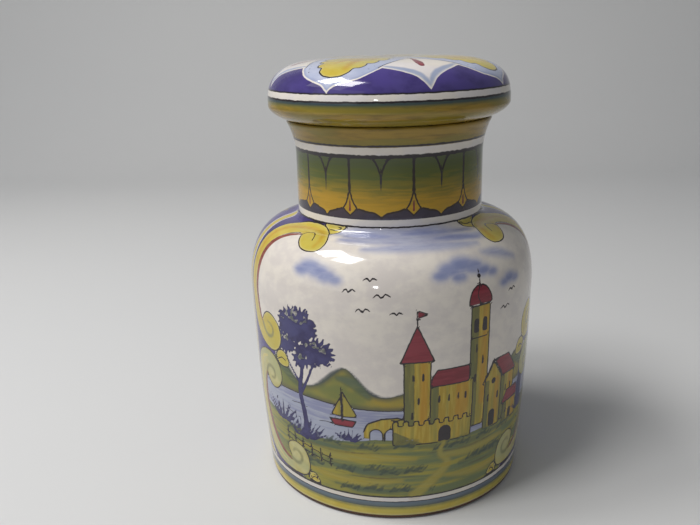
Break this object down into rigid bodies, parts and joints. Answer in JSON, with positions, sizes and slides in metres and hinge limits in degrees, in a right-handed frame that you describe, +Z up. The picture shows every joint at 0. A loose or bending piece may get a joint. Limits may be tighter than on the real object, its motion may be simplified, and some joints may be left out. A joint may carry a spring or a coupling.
{
  "type": "lidded ceramic jar",
  "caption": "Round glazed earthenware storage jar with a wide shoulder, a short flared neck and a lift-off domed lid.",
  "frame": {"origin": "centre of the circle that the foot ring stands on", "axes": "+Z up along the jar's axis of revolution, +X to the right in the picture, and the painted panel faces -Y"},
  "size_m": [0.1362, 0.1362, 0.2],
  "materials": {
    "jar_glaze": "glossy tin-white glaze with hand-painted landscape panel, scrollwork and petal bands",
    "lid_glaze": "glossy violet-blue glaze with hand-painted eight-part star of lobes and points"
  },
  "bodies": {
    "jar": {"jar": "jar_glaze"},
    "lid": {"lid": "lid_glaze"}
  },
  "joints": [
    {"name": "lid_lift", "type": "slide", "parent": "jar", "child": "lid", "axis": [0, 0, 1], "range_m": [0, 0.12]}
  ]
}
